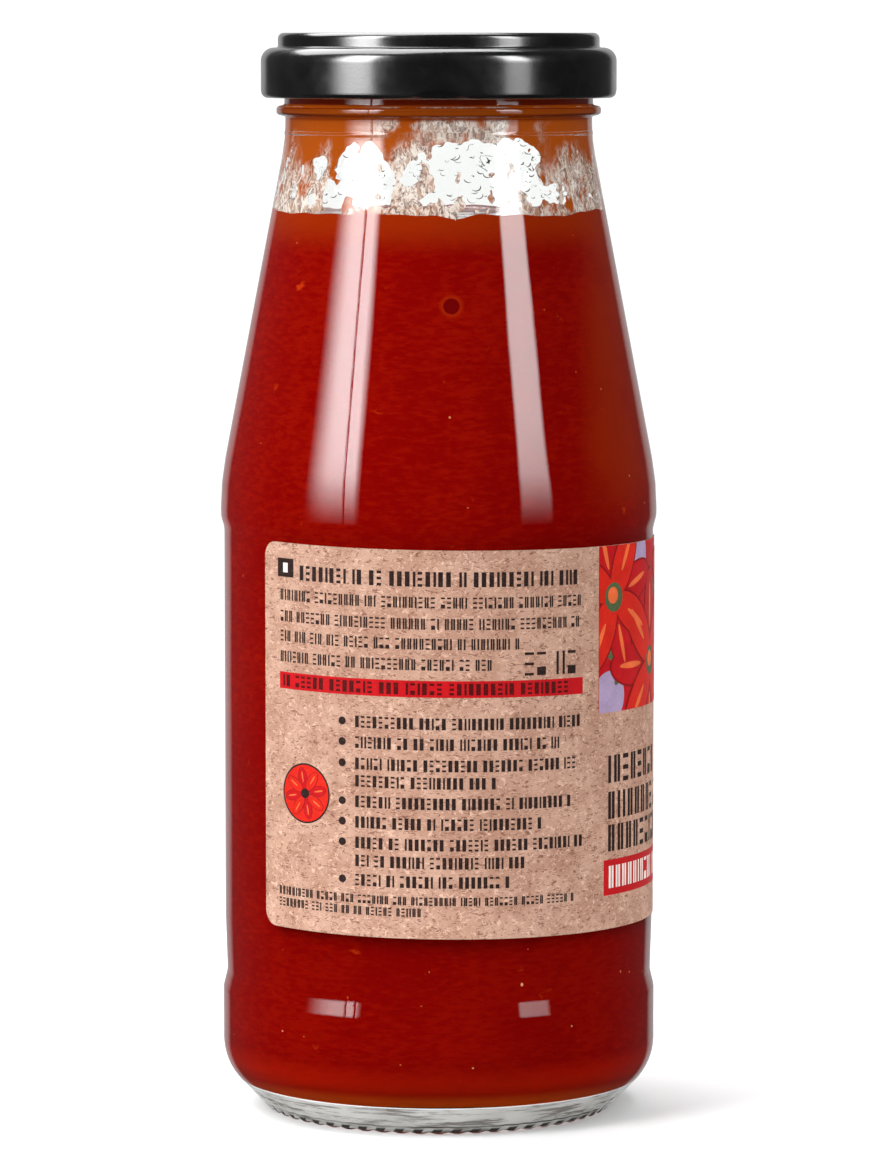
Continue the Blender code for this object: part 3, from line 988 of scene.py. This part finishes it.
inkLook = {  # colour, colour where it is worn, and how much it is worn
    "dark": ((0.022, 0.0105, 0.0090), (0.13, 0.065, 0.045), 0.35),
    "red": ((0.46, 0.0022, 0.0060), (0.46, 0.035, 0.026), 0.3),
    "scarlet": ((0.58, 0.012, 0.004), (0.60, 0.05, 0.02), 0.4),
    "orange": ((0.74, 0.13, 0.035), (0.80, 0.22, 0.08), 0.4),
    "wine": ((0.24, 0.003, 0.004), (0.36, 0.012, 0.010), 0.4),
    "pale": ((0.76, 0.68, 0.62), (0.62, 0.48, 0.38), 0.4),
    "lilac": ((0.36, 0.27, 0.42), (0.48, 0.38, 0.54), 0.4),
    "green": ((0.075, 0.11, 0.045), (0.17, 0.22, 0.11), 0.4),
}
textBlocks = [  # left edge, height, pitch and stroke of the marks, then each row's right and low edge
    (-23.2, 2.3, 1.22, 0.42, [(24.1, 86.5)]),
    (-27.3, 1.7, 0.94, 0.265, [(24.4, 83.2), (24.4, 79.9), (13.4, 76.8), (9.6, 73.6)]),
    (-13.2, 1.8, 0.96, 0.30, [
        (24.6, 64.4), (20.4, 61.2), (23.9, 57.9), (9.6, 55.2), (22.6, 52.0), (17.3, 48.8), (24.4, 45.6),
        (14.2, 42.8), (11.8, 39.8),
    ]),
    (-27.7, 1.3, 0.78, 0.23, [(22.9, 37.1), (-2.3, 35.3)]),
]
bulletRows = (65.3, 62.1, 58.8, 52.9, 49.7, 46.5, 40.7)


def addWords(ink, draw, left, right, low, tall, pitch, stroke):
    # plain marks in word-like groups, which stand for a line of text
    at = left
    high = low + tall
    wide = pitch * 0.94 - stroke
    while at < right - pitch:
        for _ in range(draw.choice((2, 3, 5, 6, 7, 8, 9, 10))):
            if at > right - pitch * 0.8:
                break
            kind = draw.choice("uuuuuddbii")
            if kind == "u":  # two uprights
                ink.addBox(at, at + stroke, low, high)
                ink.addBox(at + wide - stroke, at + wide, low, high)
            elif kind == "d":  # three dashes
                for part in (0.0, 0.5, 1.0):
                    lift = low + part * (tall - stroke)
                    ink.addBox(at, at + wide, lift, lift + stroke)
            elif kind == "b":  # a dash over a block
                ink.addBox(at, at + wide, high - stroke, high)
                ink.addBox(at, at + wide, low, low + 0.36 * tall)
            else:  # one upright
                ink.addBox(at, at + stroke, low, high)
                at -= pitch * 0.4
            at += pitch
        at += pitch * 0.65


def buildPrinting():
    draw = random.Random(7)
    inks = {name: Shells(paperRadius - 0.02 * mm, paperRadius + printStep) for name in inkLook}
    dark = inks["dark"].at(2)
    for left, tall, pitch, stroke, rows in textBlocks:
        for right, low in rows:
            addWords(dark, draw, left, right, low, tall, pitch, stroke)
    dark.addBox(-27.9, -24.5, 86.8, 89.7)
    inks["pale"].at(4).addBox(-26.7, -25.7, 87.5, 89.0)
    addWords(dark, draw, 13.6, 24.6, 72.7, 3.6, 2.1, 0.42)
    inks["red"].at(1).addBox(-27.5, 24.3, 69.4, 72.0)
    bandInk = Shells(paperRadius, paperRadius + printStep * 3)
    addWords(bandInk, draw, -26.7, 21.5, 69.8, 1.8, 1.15, 0.36)
    for height in bulletRows:
        dark.addOval(-15.4, height, 0.62, 0.62, parts=12)
    addRosette(inks, -22.2, 53.4, 4.6)
    addPicture(inks)
    addSecondPanel(inks, draw)
    for name, ink in inks.items():
        newPiece("print_" + name, ink.points, ink.faces, inkMaterial(name + "Ink", *inkLook[name]), "kraft_paper")
    colour, worn, share = inkLook["wine"]
    material = inkMaterial("bandInk", scaled(colour, 0.3), worn, share)
    newPiece("print_band_rows", bandInk.points, bandInk.faces, material, "kraft_paper")


def addPetals(inks, layer, middle, height, along, halfLong, halfWide, turn, window=None):
    # eight petals round a point, whose two colours lie in two layers, so that neighbours overlap
    for number in range(8):
        angle = turn + full * number / 8
        base = layer + 3 * (number % 2)
        main = inks["scarlet" if number % 2 else "red"]
        x = middle + along * math.cos(angle)
        z = height + along * math.sin(angle)
        inks["wine"].at(base).addOval(x, z, halfLong * 1.06, halfWide * 1.12, angle, window)
        main.at(base + 1).addOval(x, z, halfLong, halfWide, angle, window)
        x += 0.18 * halfLong * math.cos(angle)
        z += 0.18 * halfLong * math.sin(angle)
        inks["orange"].at(base + 2).addOval(x, z, halfLong * 0.5, halfWide * 0.16, angle, window, 20)


def addRosette(inks, middle, height, size):
    inks["dark"].at(1).addOval(middle, height, size, size * 1.02)
    inks["scarlet"].at(2).addOval(middle, height, size * 0.94, size * 0.96)
    addPetals(inks, 3, middle, height, size * 0.5, size * 0.36, size * 0.17, 0.2)
    inks["dark"].at(8).addOval(middle, height, size * 0.17, size * 0.17, parts=14)


pictureLook = {
    "box": (27.8, 87.0, 66.0),  # left, right and low
    "flowers": [  # middle, height, distance and half length of the petals, and their turn
        (31.5, 84.0, 6.6, 6.4, 0.3), (45.5, 73.0, 7.4, 7.2, 0.0),
        (61.0, 85.0, 6.8, 6.6, 0.5), (76.5, 73.5, 7.4, 7.2, 0.2),
    ],
    "gaps": [(38.5, 90.0, 4.5, 5.0), (30.5, 68.5, 4.0, 4.0), (53.5, 88.5, 4.2, 4.0), (66.0, 69.0, 4.0, 4.2)],
    "leaves": [(34.5, 73.5, 0.9), (31.5, 75.0, -0.5), (50.5, 86.0, 0.8), (52.5, 82.5, -0.4), (69.0, 76.5, 0.7)],
}


def addPicture(inks):
    look = pictureLook
    left, right, low = look["box"]
    high = labelLook["high"] - 0.02
    window = (left, right, low, high)
    inks["red"].at(1).addBox(left, right, low, high)
    for middle, height, halfWidth, halfHeight in look["gaps"]:
        inks["lilac"].at(2).addOval(middle, height, halfWidth, halfHeight, 0.0, window)
    for middle, height, tilt in look["leaves"]:
        inks["green"].at(3).addOval(middle, height, 4.2, 1.1, tilt, window, 24)
    for middle, height, along, halfLong, turn in look["flowers"]:
        addPetals(inks, 4, middle, height, along, halfLong, halfLong * 0.44, turn, window)
        inks["green"].at(10).addOval(middle, height, 2.3, 2.3, 0.0, window, 24)
        inks["orange"].at(11).addOval(middle - 0.3, height + 0.3, 1.3, 1.3, 0.0, window, 18)


def addSecondPanel(inks, draw):
    # the large rows under the picture, and the two blocks at the back
    dark = inks["dark"].at(2)
    for low, tall, right in ((54.9, 4.3, 50.5), (49.2, 4.3, 54.5), (44.1, 4.2, 60.0)):
        addWords(dark, draw, 30.2, right, low, tall, 2.55, 0.72)
    inks["red"].at(1).addBox(29.1, 58.0, 37.2, 42.8)
    addWords(inks["pale"].at(2), draw, 30.4, 56.8, 38.3, 3.5, 1.85, 0.50)
    for row in range(4):
        addWords(dark, draw, 62, 84, 61.2 - 2.6 * row, 1.7, 0.96, 0.23)
    for row in range(9):
        low = 84.5 - 3.3 * row
        addWords(dark, draw, 92, 116 - (row % 3) * 4, low, 1.6, 0.9, 0.2)
        addWords(dark, draw, 132, 143.5, low, 1.6, 0.9, 0.2)
        dark.addBox(92, 144, low - 0.85, low - 0.7)
    for row in range(6):
        addWords(dark, draw, 92, 144 - (row % 4) * 5, 51.0 - 2.9 * row, 1.6, 0.9, 0.2)


# Build everything

buildGlass(glassMaterial())
buildHeelBand(heelMaterial())
print("glass built")
buildSauce(sauceMaterial(), sauceTopMaterial())
buildSpecks(plainMaterial("sauceSpecks", 0.4, *sauceLook["specks"]))
buildFilm(filmMaterial())
buildFilmMarks(plainMaterial("filmRimShade", 0.5, *filmLook["rimShade"]))
print("sauce and film built")
lidPaint = lidMaterial()
buildLid(lidPaint)
buildLidLugs(lidPaint)
print("lid built")
buildPaper(paperMaterial())
buildPrinting()
print("label built")


# Studio: pale floor, soft lights, white surroundings and the camera

studio = {
    "floorColour": (0.83, 0.83, 0.84),
    "floorFade": (0.08, 0.27),
    "leftBox": {
        "azimuth": -57.5, "distance": 0.75, "width": 0.47, "low": 0.035, "high": 0.92,
        "soft": (0.5, 0.16, 0.33, 0.04), "radiance": 14.3,
    },
    "rightBox": {
        "azimuth": 51.5, "distance": 0.75, "width": 0.26, "low": 0.04, "high": 0.90,
        "soft": (0.14, 0.16, 0.42, 0.12), "radiance": 10.6,
    },
    "overhead": {"place": Vector((-0.25, 0.30, 0.95)), "width": 1.0, "height": 1.0, "radiance": 4.6},
    "backdropSpread": 30,
    "backdrop": 1.1,
    "glossBackdrop": 0.5,
    "ambient": 0.014,
    "sideAmbient": 0.052,
    "matteAmbient": 0.42,
    "cameraDistance": 872.44 * mm,
    "cameraHeight": 170.93 * mm,
    "cameraSide": 0.2 * mm,
    "cameraPitch": 5.72,
    "lens": 169.52,
}


def addLamp(name, place, rotation, width, height, radiance):
    lamp = bpy.data.lights.new(name, "AREA")
    lamp.shape = "RECTANGLE"
    lamp.size = width
    lamp.size_y = height
    lamp.energy = radiance * math.pi * width * height
    made = addObject(name, lamp)
    made.location = place
    made.rotation_euler = rotation
    made.visible_camera = False
    return lamp


def addSoftbox(name, azimuth, distance, width, low, high, soft, radiance):
    # soft says over which share of the box its light fades in from the left, right, low and high edge
    left, right, bottom, top = soft
    angle = math.radians(azimuth)
    place = onBottle(distance, angle, (low + high) / 2)
    lamp = addLamp(name, place, (90 * degree, 0, angle), width, high - low, radiance)
    lamp.use_nodes = True
    tree = lamp.node_tree
    across = addNode(tree, "NewGeometry").outputs["Parametric"]
    x, y, _ = addNode(tree, "SeparateXYZ", {0: across}).outputs
    level = product(
        mapped(x, 0.0, left), mapped(x, 1.0, 1.0 - right), mapped(y, 0.0, bottom), mapped(y, 1.0, 1.0 - top),
    )
    tree.links.new(level, tree.nodes["Emission"].inputs["Strength"])


def buildWorld():
    world = bpy.data.worlds.new("studio")
    world.use_nodes = True
    tree = world.node_tree
    path = addNode(tree, "LightPath").outputs
    where = addNode(tree, "TexCoord").outputs["Generated"]
    depth = addNode(tree, "SeparateXYZ", {0: where}).outputs["Y"]
    edge = math.cos(math.radians(studio["backdropSpread"]))
    sides = mapped(depth, -0.15, 0.8, studio["ambient"], studio["sideAmbient"])
    behind = mathOf("MAXIMUM", sides, mapped(depth, edge - 0.04, edge + 0.04, 0.0, studio["glossBackdrop"]))
    seen = mathOf("MAXIMUM", path["Is Camera Ray"], path["Is Transmission Ray"])
    lit = addNode(tree, "Mix", {0: path["Is Diffuse Ray"], 2: behind, 3: studio["matteAmbient"]})
    shown = addNode(tree, "Mix", {0: seen, 2: lit.outputs[0], 3: studio["backdrop"]})
    background = tree.nodes["Background"]
    background.inputs["Color"].default_value = (1, 1, 1, 1)
    tree.links.new(shown.outputs[0], background.inputs["Strength"])
    bpy.context.scene.world = world


def buildFloor():
    made, tree = newMaterial("paleFloor", {"Roughness": 0.9, "Specular IOR Level": 0.1})
    pale = studio["floorColour"]
    colour = mixed(mapped(noiseOf(tree, 60 * mm, 2.0), 0.3, 0.7), scaled(pale, 0.985), pale)
    fromMiddle = addNode(tree, "VectorMath", {0: placeOf(tree)}, operation="LENGTH").outputs["Value"]
    low, high = studio["floorFade"]
    painted(made, colour, alpha=mapped(fromMiddle, high, low))
    points = [(-1, -1, 0), (1, -1, 0), (1, 1, 0), (-1, 1, 0)]
    floor = newPiece("floor", points, [(0, 1, 2, 3)], made, None)
    floor.visible_glossy = False


def buildCamera():
    lens = bpy.data.cameras.new("camera")
    lens.lens = studio["lens"]
    lens.sensor_width = 36
    lens.sensor_fit = "AUTO"
    made = addObject("camera", lens)
    made.location = (studio["cameraSide"], -studio["cameraDistance"], studio["cameraHeight"])
    made.rotation_euler = (math.radians(90 - studio["cameraPitch"]), 0, 0)
    bpy.context.scene.camera = made


addSoftbox("left_box", **studio["leftBox"])
addSoftbox("right_box", **studio["rightBox"])
aimed = (-studio["overhead"]["place"]).to_track_quat("-Z", "Y").to_euler()
addLamp("overhead", rotation=aimed, **studio["overhead"])
buildWorld()
buildFloor()
buildCamera()
scene = bpy.context.scene
scene.view_settings.view_transform = "Standard"
scene.cycles.use_denoising = True
scene.cycles.transparent_max_bounces = 24
print("studio built")
